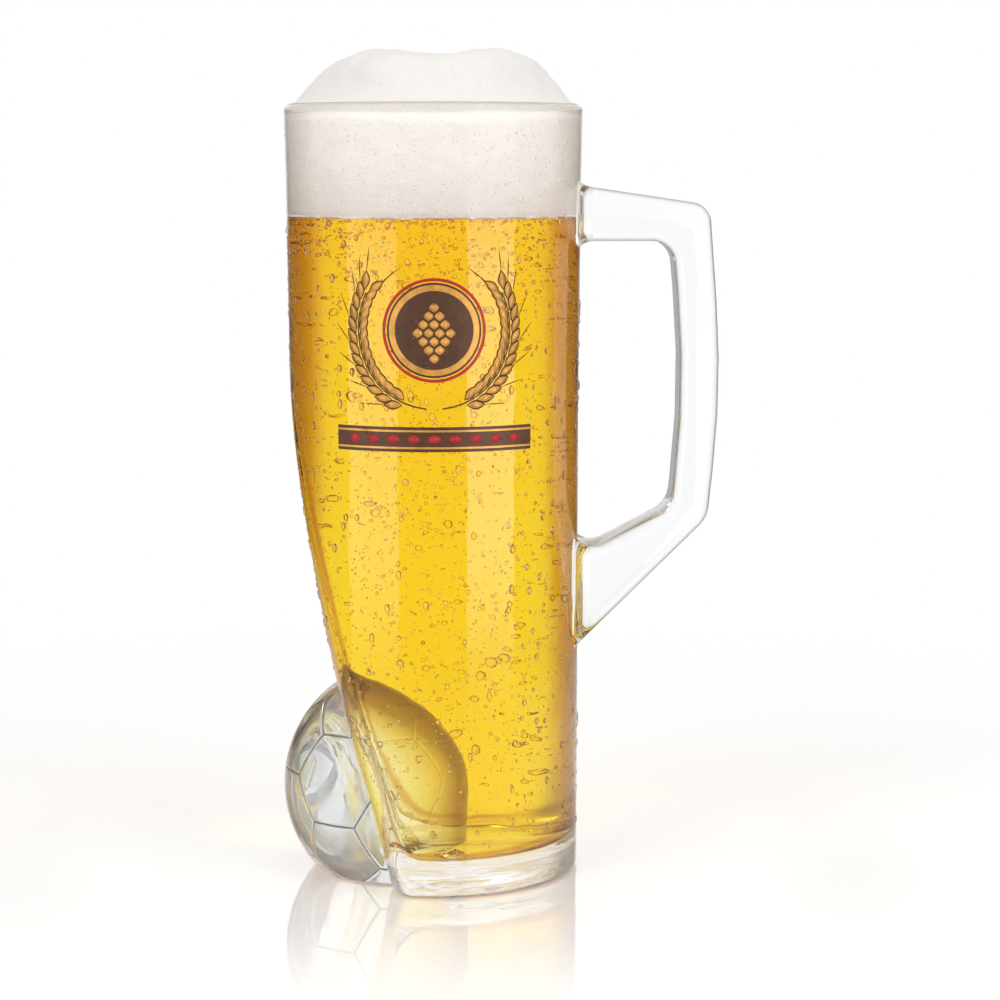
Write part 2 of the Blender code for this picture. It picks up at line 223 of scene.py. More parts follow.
class Filling(bpy.types.PropertyGroup):
    """Lager, foam and bubbles"""
    foam_depth: length("Foam depth", "From the rim down to the beer", 0.0282)
    crown_height: length("Crown", "Height of the crown over the rim", 0.0126)
    crown_setback: length("Crown setback", "How far the crown stays inside the rim", 0.0012)
    crown_flatness: amount("Crown flatness", "How flat the crown's top is", 9.0)
    crown_shoulder: amount("Crown shoulder", "How hollow the crown's foot is", 3.0)
    seat: length("Seat", "How far the drink reaches into the glass", 0.00015)
    lager: colour("Lager", "Colour that passes through the lager", (1.0, 0.930, 0.05))
    lager_bend: amount("Lager refraction", "Refractive index of the lager", 1.34)
    lager_density: amount("Lager density", "How strongly the lager absorbs", 90.0)
    # The foam behind the glass is a slightly lighter copy of the crown's colour: painted light.
    foam: colour("Foam", "Colour of the foam behind the glass", (0.935, 0.908, 0.870))
    crown: colour("Crown colour", "Colour of the foam over the rim", (0.93, 0.905, 0.87))
    bubbles: count("Bubbles", "Bubbles in the lager", 900)
    collar: count("Collar", "Bubbles that cling to the glass under the foam", 900)
    bubble_radius: length("Bubble", "Radius of the largest bubble", 0.00055)


class Water(bpy.types.PropertyGroup):
    """Condensation on the outside of the glass"""
    drops: count("Drops", "Number of larger drops", 2100)
    largest: length("Largest drop", "Radius of the largest drop", 0.00088)
    mist: count("Mist", "Number of fine drops", 4600)
    mist_radius: length("Mist drop", "Radius of a fine drop", 0.00022)
    bend: amount("Refraction", "Refractive index of water", 1.333)


class PrintLook(bpy.types.PropertyGroup):
    """Printed decoration"""
    gold: colour("Gold", "Light gold", (0.82, 0.40, 0.085))
    brown: colour("Brown", "Dark brown", (0.10, 0.036, 0.012))
    red: colour("Red", "Red line", (0.55, 0.012, 0.012))
    layer: length("Layer", "Thickness of the print", 0.00006)
    height: length("Height", "Height of the ring's centre", 0.1435)
    reach: length("Reach", "Half the width of the print round the barrel", 0.034)
    medal: length("Ring", "Outer radius of the ring", 0.0112)
    wreath: length("Wreath", "Radius of the wreath", 0.0195)
    band_drop: length("Band", "Height of the band from the ring's centre", -0.027, least=-0.1)
    band_length: length("Band length", "Length of the band", 0.052)


class StageLook(bpy.types.PropertyGroup):
    """Floor, light and camera"""
    ambient: amount("Ambient", "Light from all round", 0.62)
    left_card: amount("Left card", "Brightness of the card reflected on the left", 2.2)
    right_card: amount("Right card", "Brightness of the card reflected on the right", 3.2)
    side_dark: colour("Dark sides", "Colour of the dark flags that glass reflects", (0.08, 0.08, 0.08))
    lamp_power: amount("Lamp power", "Power of each soft lamp", 7.0, unit="POWER")
    mirror: amount("Mirror", "Share of the floor's reflection at the foot", 0.42)
    focal: amount("Lens", "Focal length", 97.0, subtype="DISTANCE_CAMERA")
    camera_distance: length("Distance", "Camera to the barrel's axis", 0.700)
    camera_height: length("Height", "Camera over the floor", 0.1846)
    camera_pitch: angle("Pitch", "How far the camera looks down", 7.15)
    camera_yaw: angle("Yaw", "How far the camera looks to the right", 1.40)


class BeerMug(bpy.types.PropertyGroup):
    """All settings of the mug"""
    glass: bpy.props.PointerProperty(type=GlassShape)
    handle: bpy.props.PointerProperty(type=HandleShape)
    filling: bpy.props.PointerProperty(type=Filling)
    water: bpy.props.PointerProperty(type=Water)
    print_look: bpy.props.PointerProperty(type=PrintLook)
    stage: bpy.props.PointerProperty(type=StageLook)


def settings():
    return bpy.context.scene.beer_mug


# Shader maths

class Wire:
    """A node's output that takes part in Python arithmetic."""

    def __init__(self, net, socket):
        self.net = net
        self.socket = socket

    def of(self, output):
        return Wire(self.net, self.socket.node.outputs[output])

    def maths(self, operation, *others):
        values = dict(enumerate((self,) + others))
        return self.net.add("ShaderNodeMath", {"operation": operation}, values)

    def __add__(self, other):
        return self.maths("ADD", other)

    def __radd__(self, other):
        return self.maths("ADD", other)

    def __sub__(self, other):
        return self.maths("SUBTRACT", other)

    def __rsub__(self, other):
        return self.net.add("ShaderNodeMath", {"operation": "SUBTRACT"}, {0: other, 1: self})

    def __mul__(self, other):
        return self.maths("MULTIPLY", other)

    def __rmul__(self, other):
        return self.maths("MULTIPLY", other)

    def __truediv__(self, other):
        return self.maths("DIVIDE", other)

    def step(self, start, end, first, last):
        """Eases from the first value to the last while this one goes from start to end."""
        values = {"Value": self, "From Min": start, "From Max": end, "To Min": first, "To Max": last}
        return self.net.add("ShaderNodeMapRange", {"interpolation_type": "SMOOTHSTEP"}, values)


class Net:
    """The node tree of one material or of the world."""

    def __init__(self, owner):
        owner.use_nodes = True
        self.owner = owner
        self.tree = owner.node_tree

    def add(self, kind, choices=None, values=None, output=0):
        node = self.tree.nodes.new(kind)
        for name, choice in (choices or {}).items():
            setattr(node, name, choice)
        for name, value in (values or {}).items():
            self.feed(node.inputs[name], value)
        return Wire(self, node.outputs[output])

    def feed(self, socket, value):
        if isinstance(value, Wire):
            self.tree.links.new(value.socket, socket)
        else:
            socket.default_value = value

    def surface(self, values):
        """Sets or links inputs of the material's own shader."""
        shader = self.tree.nodes["Principled BSDF"]
        for name, value in values.items():
            self.feed(shader.inputs[name], value)

    def tinted(self, layer):
        """Multiplies the colour that is linked to the shader by a layer of colours."""
        base = self.tree.nodes["Principled BSDF"].inputs["Base Color"]
        self.surface({"Base Color": self.product(Wire(self, base.links[0].from_socket), layer)})

    def output(self, name, wire):
        self.feed(self.tree.nodes["Material Output"].inputs[name], wire)

    def place(self):
        return self.add("ShaderNodeTexCoord", output="Object")

    def height(self):
        return self.add("ShaderNodeSeparateXYZ", values={"Vector": self.place()}, output="Z")

    def noise(self, scale, detail=2.0, roughness=0.5):
        values = {"Vector": self.place(), "Scale": scale, "Detail": detail, "Roughness": roughness}
        return self.add("ShaderNodeTexNoise", values=values)

    def ramp(self, factor, stops):
        """Colours that follow one another as the factor grows."""
        colours = self.add("ShaderNodeValToRGB", values={"Fac": factor})
        elements = colours.socket.node.color_ramp.elements
        while len(elements) < len(stops):
            elements.new(1.0)
        for element, (place, rgb) in zip(elements, stops):
            element.position = place
            element.color = opaque(rgb)
        return colours

    def product(self, first, second):
        choices = {"data_type": "RGBA", "blend_type": "MULTIPLY"}
        return self.add("ShaderNodeMix", choices, {"Factor": 1.0, 6: first, 7: second}, output=2)

    def shaders(self, share, first, second):
        """Goes over from the first shader to the second as the share grows to one."""
        return self.add("ShaderNodeMixShader", values={0: share, 1: first, 2: second})

    def bump(self, height, strength, distance):
        values = {"Height": height, "Strength": strength, "Distance": distance}
        return self.add("ShaderNodeBump", values=values, output="Normal")


def new_net(name):
    return Net(bpy.data.materials.new(name))


def opaque(rgb):
    return (rgb[0], rgb[1], rgb[2], 1.0)


def clear_net(name, tint, bend, edge=None, fade=None):
    """Clear glass or liquid. The edge gives the painted shade it takes as it turns away from the eye, and the
    fade changes that painted shade with height."""
    net = new_net(name)
    shade = opaque(tint)
    if edge:
        away = net.add("ShaderNodeLayerWeight", values={"Blend": 0.5}, output="Facing")
        if fade:
            away = away * net.height().step(*fade)
        shade = net.ramp(away, [(0.0, tint)] + edge)
    net.surface({"Base Color": shade, "Roughness": 0.0, "IOR": bend, "Transmission Weight": 1.0})
    return net


def pressed_glass(name, shape, edge):
    """Glass with the slow waves of a pressed surface, and painted shade towards its edges."""
    net = clear_net(name, shape.tint, shape.bend, edge)
    waves = net.noise(scale=130.0, detail=1.0)
    net.surface({"Normal": net.bump(waves, strength=0.3, distance=0.0005)})
    return net.owner


def misted_glass(shape):
    """The football: patches of it are cloudy with breath."""
    # The football takes painted shade towards its edges.
    net = clear_net("misted_glass", shape.mist_tint, shape.bend, BALL_EDGE_PAINTED_SHADE)
    cloud = net.noise(scale=75.0, detail=4.0).step(0.38, 0.66, 0.0, 0.12)
    net.surface({"Roughness": cloud, "Transmission Weight": 1.0 - shape.mist})
    return net.owner


def foot_glass_painted_streaks(shape):
    """The foot: its level streaks are painted reflection of the drink and the table, and it takes painted
    shade towards its edges.
    """
    net = clear_net("foot_glass_painted_streaks", shape.cool_tint, shape.bend, THICK_EDGE_PAINTED_SHADE)
    drawn_out = net.add("ShaderNodeMapping", values={"Vector": net.place(), "Scale": (55.0, 55.0, 420.0)})
    wave = net.add("ShaderNodeTexNoise", values={"Vector": drawn_out, "Scale": 1.0, "Detail": 2.5})
    net.tinted(net.ramp(wave, STREAKS_PAINTED_REFLECTION))
    net.surface({"Normal": net.bump(wave, strength=0.35, distance=0.0006)})
    return net.owner


def wetted_glass(step, level):
    """The inside of the wall: painted shade darkens the lager towards its edges, and makes it deeper amber
    near the top, under the foam.
    """
    net = clear_net("wetted_glass", WHITE, step, LAGER_EDGE_PAINTED_SHADE, LAGER_EDGE_SHADE_FADE)
    # Painted shade under the foam: the lager turns deeper amber towards the top.
    net.tinted(net.ramp(net.height() / level, [(0.45, WHITE), (0.95, (0.985, 0.86, 0.50))]))
    return net.owner


# Modelling helpers

def deselect():
    if bpy.context.object and bpy.context.object.mode != "OBJECT":
        bpy.ops.object.mode_set(mode="OBJECT")
    bpy.ops.object.select_all(action="DESELECT")


def pick(item):
    deselect()
    item.select_set(True)
    bpy.context.view_layer.objects.active = item


def added(name, add, **values):
    """A new object from one of Blender's add operators."""
    deselect()
    add(**values)
    item = bpy.context.object
    item.name = name
    return item


def edit(item):
    pick(item)
    bpy.ops.object.mode_set(mode="EDIT")
    bpy.ops.mesh.select_mode(type="VERT")
    bpy.ops.mesh.select_all(action="SELECT")


def leave_edit():
    bpy.ops.object.mode_set(mode="OBJECT")


def edit_edges(item, wanted):
    """Enters edit mode with only those edges picked whose two ends are wanted."""
    edit(item)
    bpy.ops.mesh.select_mode(type="EDGE")
    bpy.ops.mesh.select_all(action="DESELECT")
    leave_edit()
    corners = item.data.vertices
    for edge in item.data.edges:
        first, last = edge.vertices
        edge.select = wanted(corners[first].co, corners[last].co)
    bpy.ops.object.mode_set(mode="EDIT")


def drawn(name, points, closed=False):
    """A line of points, drawn by extruding one vertex from place to place."""
    item = added(name, bpy.ops.mesh.primitive_plane_add, size=0.01)
    item.data.name = name
    edit(item)
    bpy.ops.mesh.merge(type="CENTER")
    bpy.ops.transform.translate(value=points[0])
    route = points + points[:1] if closed else points
    for start, end in zip(route, route[1:]):
        bpy.ops.mesh.extrude_vertices_move(TRANSFORM_OT_translate={"value": Vector(end) - Vector(start)})
    bpy.ops.mesh.select_all(action="SELECT")
    bpy.ops.mesh.remove_doubles(threshold=TINY)
    leave_edit()
    return item


def turned(name, profile, steps):
    """A profile of radius and height, spun about the upright axis."""
    item = drawn(name, [Vector((radius, 0.0, z)) for radius, z in profile])
    edit(item)
    bpy.ops.mesh.spin(steps=steps, angle=FULL_TURN, center=(0.0, 0.0, 0.0), axis=(0.0, 0.0, 1.0))
    bpy.ops.mesh.select_all(action="SELECT")
    bpy.ops.mesh.remove_doubles(threshold=SAME_PLACE)
    bpy.ops.mesh.normals_make_consistent(inside=False)
    leave_edit()
    return item


def cut_below(item, z):
    """Cuts off what lies under a height and closes the cut."""
    edit(item)
    bpy.ops.mesh.bisect(plane_co=(0.0, 0.0, z), plane_no=(0.0, 0.0, -1.0), use_fill=True, clear_outer=True)
    leave_edit()


def move(item, x=0.0, z=0.0):
    item.data.transform(Matrix.Translation((x, 0.0, z)))


def combined(item, operation, other):
    """Joins or cuts one solid with another, which is then removed."""
    pick(item)
    modifier = item.modifiers.new(operation, "BOOLEAN")
    modifier.operation = operation
    modifier.solver = "EXACT"
    modifier.object = other
    bpy.ops.object.modifier_apply(modifier=modifier.name)
    bpy.data.objects.remove(other, do_unlink=True)


def smooth(item, sharp_angle):
    pick(item)
    bpy.ops.object.shade_smooth_by_angle(angle=sharp_angle)


def dress(item, material, slot, *nodes):
    """Gives a finished piece its material and its place in the frame."""
    item.data.materials.clear()
    item.data.materials.append(material)
    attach(item, BODY)
    if nodes:
        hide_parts(*nodes)


def quarter(steps):
    return [math.pi / 2 * step / steps for step in range(steps + 1)]


def between(low, high, step):
    """Even heights from low up to high."""
    parts = max(1, math.ceil((high - low) / step))
    return [low + (high - low) * part / parts for part in range(parts + 1)]


# The glass wall

def barrel_radius(shape, z):
    rise = max(0.0, z - shape.flare_start) / (shape.height - shape.flare_start)
    return shape.barrel_radius + shape.rim_flare * rise ** 2


def facet_distance(shape, z):
    """Distance of the facet from the axis at a height."""
    if z >= shape.facet_top:
        return math.inf
    bend_sine = math.sin(shape.facet_bend_lean)
    upper = (shape.facet_top - shape.facet_bend) / bend_sine
    lower = shape.facet_bend / (math.sin(shape.facet_foot_lean) - bend_sine)
    start = barrel_radius(shape, shape.facet_top) + shape.facet_step
    if z >= shape.facet_bend:
        return start - upper * (1.0 - math.cos(math.asin((shape.facet_top - z) / upper)))
    bend = start - upper * (1.0 - math.cos(shape.facet_bend_lean))
    lean = math.asin(min(1.0, bend_sine + (shape.facet_bend - z) / lower))
    return bend - lower * (math.cos(shape.facet_bend_lean) - math.cos(lean))


def wall_radius(shape, turn, z, offset):
    """Distance of the wall from the axis: the barrel, cut by the facet, with a rounded ridge."""
    barrel = barrel_radius(shape, z) + offset
    facet = facet_distance(shape, z) + offset
    towards = -math.cos(turn)
    if towards <= 0.0 or facet >= barrel:
        return barrel
    bow = shape.facet_bow + offset
    centre = bow - facet
    across = towards * centre
    bowed = math.sqrt(across ** 2 + bow ** 2 - centre ** 2) - across
    ridge_turn = math.acos(facet / barrel)
    blend = 4.0 * shape.ridge_radius * (1.0 / math.cos(ridge_turn / 2) - 1.0)
    shared = max(blend - abs(barrel - bowed), 0.0)
    return min(barrel, bowed) - shared ** 2 / (4.0 * blend)


def wall_point(shape, turn, z, offset):
    radius = wall_radius(shape, turn, z, offset)
    return Vector((radius * math.cos(turn), radius * math.sin(turn), z))


def wall_normal(shape, turn, z):
    aside = 0.002
    rise = 0.0005
    along = wall_point(shape, turn + aside, z, 0.0) - wall_point(shape, turn - aside, z, 0.0)
    up = wall_point(shape, turn, z + rise, 0.0) - wall_point(shape, turn, z - rise, 0.0)
    return along.cross(up).normalized()


def press_facet(item, shape):
    """Presses the turned barrel in to the facet; the floor follows in proportion."""
    deepest = shape.wall + shape.floor_corner
    for vertex in item.data.vertices:
        x, y, z = vertex.co
        radius = math.hypot(x, y)
        if radius < TINY:
            continue
        level = min(max(z, 0.0), shape.height)
        barrel = barrel_radius(shape, level)
        offset = max(radius - barrel, -deepest)
        pressed = wall_radius(shape, math.atan2(y, x), level, offset) * radius / (barrel + offset)
        vertex.co.x *= pressed / radius
        vertex.co.y *= pressed / radius


def outer_solid(shape):
    top = shape.height
    foot = shape.foot_edge
    lip = shape.lip_radius
    profile = [(0.0, 0.0), (shape.barrel_radius / 2, 0.0)]
    for turn in quarter(EDGE_STEPS):
        profile.append((shape.barrel_radius - foot * (1 - math.sin(turn)), foot * (1 - math.cos(turn))))
    for z in between(foot, top - lip, HEIGHT_STEP)[1:]:
        profile.append((barrel_radius(shape, z), z))
    for turn in quarter(EDGE_STEPS)[1:]:
        z = top - lip * (1 - math.sin(turn))
        profile.append((barrel_radius(shape, z) - lip * (1 - math.cos(turn)), z))
    profile += [(shape.barrel_radius / 2, top), (0.0, top)]
    item = turned("glass_mug", profile, TURN_STEPS)
    press_facet(item, shape)
    return item


def bore_profile(shape, inset, floor, top):
    """Inside of the wall from the top down, and the round corner to the floor."""
    corner = shape.floor_corner + shape.wall - inset
    heights = reversed(between(floor + corner, top, HEIGHT_STEP))
    profile = [(barrel_radius(shape, z) - inset, z) for z in heights]
    for turn in quarter(CORNER_STEPS)[1:]:
        radius = shape.barrel_radius - inset - corner * (1 - math.cos(turn))
        profile.append((radius, floor + corner * (1 - math.sin(turn))))
    profile += [(shape.barrel_radius / 2, floor), (0.0, floor)]
    return profile


def cavity_solid(shape, level):
    top = shape.height
    lip = shape.lip_radius
    rim = barrel_radius(shape, top) - shape.wall + lip
    profile = [(0.0, top + OVERRUN), (rim, top + OVERRUN)]
    for turn in quarter(EDGE_STEPS):
        profile.append((rim - lip * math.sin(turn), top - lip * (1 - math.cos(turn))))
    heights = between(level, top - lip, HEIGHT_STEP)[1:-1]
    profile += [(barrel_radius(shape, z) - shape.wall, z) for z in reversed(heights)]
    profile += bore_profile(shape, shape.wall, shape.foot_thickness, level)
    item = turned("cavity", profile, TURN_STEPS)
    press_facet(item, shape)
    combined(item, "DIFFERENCE", dome_solid(shape))
    return item


def ball_centre(shape):
    return Vector((-shape.ball_offset, 0.0, shape.ball_height))


def dome_centre(shape):
    return Vector((-shape.ball_offset - shape.dome_shift, 0.0, shape.ball_height))


def from_dome(shape, spot):
    """The way from the dome to a place; the dome's sides are upright under its centre."""
    away = spot - dome_centre(shape)
    away.z = max(0.0, away.z)
    return away


def dome_solid(shape):
    """A seamed ball that meets the floor with upright sides."""
    dome = seamed_ball(shape)
    neck = shape.ball_height - SKIRT_DROP * shape.ball_radius
    radius = SKIRT_WIDTH * shape.ball_radius
    outline = [(0.0, neck), (radius, neck), (radius, UNDER_FLOOR), (0.0, UNDER_FLOOR)]
    combined(dome, "UNION", turned("skirt", outline, DOME_STEPS))
    move(dome, x=dome_centre(shape).x)
    return dome


def plain_dome(shape, offset):
    """The dome without its seams, made smaller or larger."""
    radius = shape.ball_radius + offset
    profile = []
    for turn in quarter(DOME_STEPS // 4):
        profile.append((radius * math.sin(turn), shape.ball_height + radius * math.cos(turn)))
    heights = between(UNDER_FLOOR, shape.ball_height, 1.5 * HEIGHT_STEP)[:-1]
    profile += [(radius, z) for z in reversed(heights)]
    profile.append((0.0, UNDER_FLOOR))
    item = turned("dome", profile, DOME_STEPS)
    move(item, x=dome_centre(shape).x)
    return item


def glass_kind(shape, spot, level):
    """Which of the mug's materials, in the order in which the mug gets them, a place on its surface has."""
    dry_wall, wetted_wall, wetted_dome, football, handle, foot, seam, land = range(8)
    turn = math.atan2(spot.y, spot.x)
    across = math.hypot(spot.x, spot.y)
    base = foot if spot.z < shape.foot_thickness else dry_wall
    if across < wall_radius(shape, turn, spot.z, -0.5 * shape.wall):
        if not shape.foot_thickness - FLOOR_MARGIN < spot.z < level:
            return base
        on_dome = from_dome(shape, spot).length < shape.ball_radius + DOME_MARGIN
        return wetted_dome if on_dome else wetted_wall
    depth = shape.ball_radius - (spot - ball_centre(shape)).length
    if depth > -BALL_MARGIN and across > wall_radius(shape, turn, spot.z, 0.0):
        return seam if SEAM_FROM * shape.seam_depth < depth < SEAM_TO * shape.seam_depth else football
    if spot.x > 0.0 and across > wall_radius(shape, turn, spot.z, HANDLE_MARGIN):
        return land if across < wall_radius(shape, turn, spot.z, LAND_WIDTH) else handle
    return base


# The football

def seam_lines(mesh):
    """The edges of the panelled ball, as pairs of directions."""
    ends = [vertex.co.normalized() for vertex in mesh.vertices]
    return [(ends[edge.vertices[0]], ends[edge.vertices[1]]) for edge in mesh.edges]


def seam_distance(direction, seams):
    """Angle from a direction to the nearest seam."""
    nearest = math.pi
    for first, last in seams:
        along = last - first
        share = min(1.0, max(0.0, (direction - first).dot(along) / along.length_squared))
        nearest = min(nearest, (direction - (first + along * share).normalized()).length)
    return nearest


def seamed_ball(shape):
    """Twelve five-sided and twenty six-sided panels, parted by round seams."""
    ball = added("football", bpy.ops.mesh.primitive_ico_sphere_add, subdivisions=1, radius=shape.ball_radius)
    edit(ball)
    bpy.ops.mesh.bevel(offset_type="PERCENT", offset_pct=100.0 / 3.0, affect="VERTICES", segments=1)
    leave_edit()
    seams = seam_lines(ball.data)
    edit(ball)
    bpy.ops.mesh.select_mode(type="FACE")
    for share in (0.4, 0.3, 0.4, 1.2):
        bpy.ops.mesh.inset(thickness=share * shape.seam_width, use_individual=True)
    bpy.ops.mesh.poke()
    leave_edit()
    edit_edges(ball, lambda first, last: (first - last).length > 4 * shape.seam_width)
    bpy.ops.mesh.subdivide(number_cuts=5)
    leave_edit()
    for vertex in ball.data.vertices:
        direction = vertex.co.normalized()
        away = seam_distance(direction, seams) * shape.ball_radius / shape.seam_width
        groove = max(0.0, 1.0 - away) ** 2 * (1.0 + 2.0 * min(1.0, away))
        vertex.co = direction * (shape.ball_radius - shape.seam_depth * groove)
    ball.data.transform(Matrix.Rotation(shape.ball_turn, 4, "Z"))
    move(ball, z=shape.ball_height)
    cut_below(ball, FLOOR_CLEARANCE)
    return ball


# The handle

def filleted(corners, step):
    """A closed outline whose corners, each with its own radius, are rounded by arcs."""
    outline = []
    for index, (x, z, radius) in enumerate(corners):
        corner = Vector((x, z))
        before = Vector(corners[index - 1][:2]) - corner
        after = Vector(corners[(index + 1) % len(corners)][:2]) - corner
        if radius == 0.0:
            outline.append(corner)
            continue
        half = before.angle(after) / 2
        middle = (before.normalized() + after.normalized()).normalized()
        centre = corner + middle * (radius / math.sin(half))
        first = corner + before.normalized() * (radius / math.tan(half)) - centre
        last = corner + after.normalized() * (radius / math.tan(half)) - centre
        turn = first.angle_signed(last)
        steps = max(2, math.ceil(abs(turn) / step))
        for part in range(steps + 1):
            outline.append(centre + Matrix.Rotation(-turn * part / steps, 2) @ first)
    return outline


def handle_corners(shape, grip):
    """Corners of the handle's side view: down the outside, then back up round the finger gap."""
    arm_top = shape.height - grip.arm_top_drop
    arm_under = shape.height - grip.arm_under_drop
    brace_top = shape.height - grip.brace_top_drop
    brace_under = shape.height - grip.brace_under_drop
    land = math.sqrt(shape.barrel_radius ** 2 - (grip.depth / 2 + grip.land_flare) ** 2) - LAND_SINK
    meet = math.sqrt(shape.barrel_radius ** 2 - (grip.depth / 2) ** 2) - ARM_SINK
    root = land - 3 * grip.edge
    inner = shape.barrel_radius + grip.finger_gap
    outer = inner + grip.grip
    middle = shape.height - grip.middle_drop
    outer_top = arm_top - math.tan(grip.arm_fall) * (outer - meet)
    outer_low = brace_under + math.tan(grip.brace_under_rise) * (outer - meet)
    inner_low = brace_top + math.tan(grip.brace_top_rise) * (inner - meet)
    shy = meet - land
    arm_top += math.tan(grip.arm_fall) * shy
    brace_top -= math.tan(grip.brace_top_rise) * shy
    brace_under -= math.tan(grip.brace_under_rise) * shy
    spread = 2 * grip.land_fillet
    fillet = grip.land_fillet + shy
    return [
        (root, arm_top + spread, 0.0),
        (land, arm_top + spread, 0.0),
        (land, arm_top, fillet),
        (outer, outer_top, grip.outer_top),
        (outer + grip.bow, middle, grip.bow_radius),
        (outer, outer_low, grip.outer_low),
        (land, brace_under, fillet),
        (land, brace_under - spread, 0.0),
        (root, brace_under - spread, 0.0),
        (root, brace_top + spread, 0.0),
        (land, brace_top + spread, 0.0),
        (land, brace_top, fillet),
        (inner, inner_low, grip.inner_low),
        (inner + grip.bow, middle, grip.bow_radius),
        (inner, arm_under, grip.inner_top),
        (land, arm_under, fillet),
        (land, arm_under - spread, 0.0),
        (root, arm_under - spread, 0.0),
    ]


def handle_solid(shape, grip):
    """The side view, extruded to the handle's depth, rounded along its edges and widened at the lands."""
    outline = filleted(handle_corners(shape, grip), ARC_STEP)
    front = -grip.depth / 2
    item = drawn("handle", [Vector((place.x, front, place.y)) for place in outline], closed=True)
    edit(item)
    bpy.ops.mesh.edge_face_add()
    bpy.ops.mesh.extrude_region_move(TRANSFORM_OT_translate={"value": (0.0, grip.depth, 0.0)})
    bpy.ops.mesh.select_all(action="SELECT")
    bpy.ops.mesh.normals_make_consistent(inside=False)
    leave_edit()
    edit_edges(item, lambda first, last: abs(first.y - last.y) < SAME_PLACE)
    bpy.ops.mesh.bevel(offset=grip.edge, segments=6, profile=0.5, clamp_overlap=False)
    reach = grip.land_fillet
    first_cut = shape.barrel_radius - 0.001
    for share in (0.0, 0.15, 0.3, 0.5, 0.75, 1.0, 1.4):
        bpy.ops.mesh.select_all(action="SELECT")
        bpy.ops.mesh.bisect(plane_co=(first_cut + share * reach, 0.0, 0.0), plane_no=(1.0, 0.0, 0.0))
    leave_edit()
    for vertex in item.data.vertices:
        x, y, _ = vertex.co
        away = max(0.0, x - math.sqrt(shape.barrel_radius ** 2 - y ** 2))
        if away < reach:
            swell = 1.0 - math.sqrt(1.0 - (1.0 - away / reach) ** 2)
            vertex.co.y *= 1.0 + swell * grip.land_flare / (grip.depth / 2)
    return item


class MUG_OT_glass(bpy.types.Operator):
    """Models the pressed glass: barrel, facet, football, dome and handle"""
    bl_idname = "beer_mug.glass"
    bl_label = "Glass"

    def execute(self, context):
        shape = settings().glass
        filling = settings().filling
        level = beer_level(shape, filling)
        mug = outer_solid(shape)
        ball = seamed_ball(shape)
        move(ball, x=ball_centre(shape).x)
        combined(mug, "UNION", ball)
        combined(mug, "UNION", handle_solid(shape, settings().handle))
        combined(mug, "DIFFERENCE", cavity_solid(shape, level))
        smooth(mug, GLASS_SHARP)
        dress(mug, pressed_glass("clear_glass", shape, WALL_EDGE_PAINTED_SHADE), "body_glass",
              "mug_body", "handle", "football")
        step = shape.bend / filling.lager_bend
        others = [
            wetted_glass(step, level),
            # The wetted dome takes painted shade towards its edges, more so higher up.
            clear_net("wetted_dome", DOME_TINT, step, DOME_EDGE_PAINTED_SHADE, DOME_EDGE_SHADE_FADE).owner,
            misted_glass(shape),
            pressed_glass("handle_glass", shape, THICK_EDGE_PAINTED_SHADE),
            foot_glass_painted_streaks(shape),
            # The seams are dark glass: painted shade in the grooves.
            clear_net("seam_glass", SEAM_PAINTED_SHADE, shape.bend).owner,
            pressed_glass("land_glass", shape, LAND_EDGE_PAINTED_SHADE),
        ]
        for material in others:
            mug.data.materials.append(material)
        for face in mug.data.polygons:
            face.material_index = glass_kind(shape, face.center, level)
        return {"FINISHED"}


# The drink

def beer_level(shape, filling):
    return shape.height - filling.foam_depth


class MUG_OT_lager(bpy.types.Operator):
    """Fills the glass with lager up to the foam"""
    bl_idname = "beer_mug.lager"
    bl_label = "Lager"

    def execute(self, context):
        shape = settings().glass
        filling = settings().filling
        level = beer_level(shape, filling)
        inset = shape.wall - filling.seat
        profile = [(0.0, level), (shape.barrel_radius / 2, level)]
        profile += bore_profile(shape, inset, shape.foot_thickness - filling.seat, level)
        beer = turned("lager", profile, TURN_STEPS)
        press_facet(beer, shape)
        combined(beer, "DIFFERENCE", plain_dome(shape, -filling.seat))
        smooth(beer, GLASS_SHARP)
        net = clear_net("lager", WHITE, bend=1.0)
        absorbed = {"Color": opaque(filling.lager), "Density": filling.lager_density}
        net.output("Volume", net.add("ShaderNodeVolumeAbsorption", values=absorbed))
        dress(beer, net.owner, "lager", "beer")
        return {"FINISHED"}


def foam_material(filling, rim):
    """Fine and broad cells, a few of them popped; the foam behind the glass gets a slightly lighter copy of
    the crown's colour, painted light that makes up for what the glass takes.
    """
    net = new_net("foam")
    fine = {"Vector": net.place(), "Scale": 1250.0, "Randomness": 0.9}
    cells = net.add("ShaderNodeTexVoronoi", {"feature": "DISTANCE_TO_EDGE"}, fine, output="Distance")
    wide = {"Vector": net.place(), "Scale": 130.0}
    large = net.add("ShaderNodeTexVoronoi", {"feature": "F1"}, wide, output="Distance")
    broad = net.noise(scale=60.0, detail=2.0)
    film = cells.step(0.0, 0.16, 0.0, 1.0)
    popped = large.step(0.05, 0.11, 0.0, 1.0)
    relief = film * 0.45 + broad * 0.35 + popped * 0.2
    grain = net.ramp(relief, [(0.25, (0.935, 0.925, 0.910)), (0.70, WHITE)])
    # Painted light: the foam under the rim, behind the glass, is slightly lighter than the crown.
    over_rim = net.height().step(rim - 0.004, rim + 0.003, 0.0, 1.0)
    base = net.ramp(over_rim, [(0.0, filling.foam), (1.0, filling.crown)])
    net.surface({
        "Base Color": net.product(base, grain),
        "Roughness": 0.75,
        "Normal": net.bump(film * 0.6 + broad, strength=0.25, distance=0.0004),
    })
    return net.owner


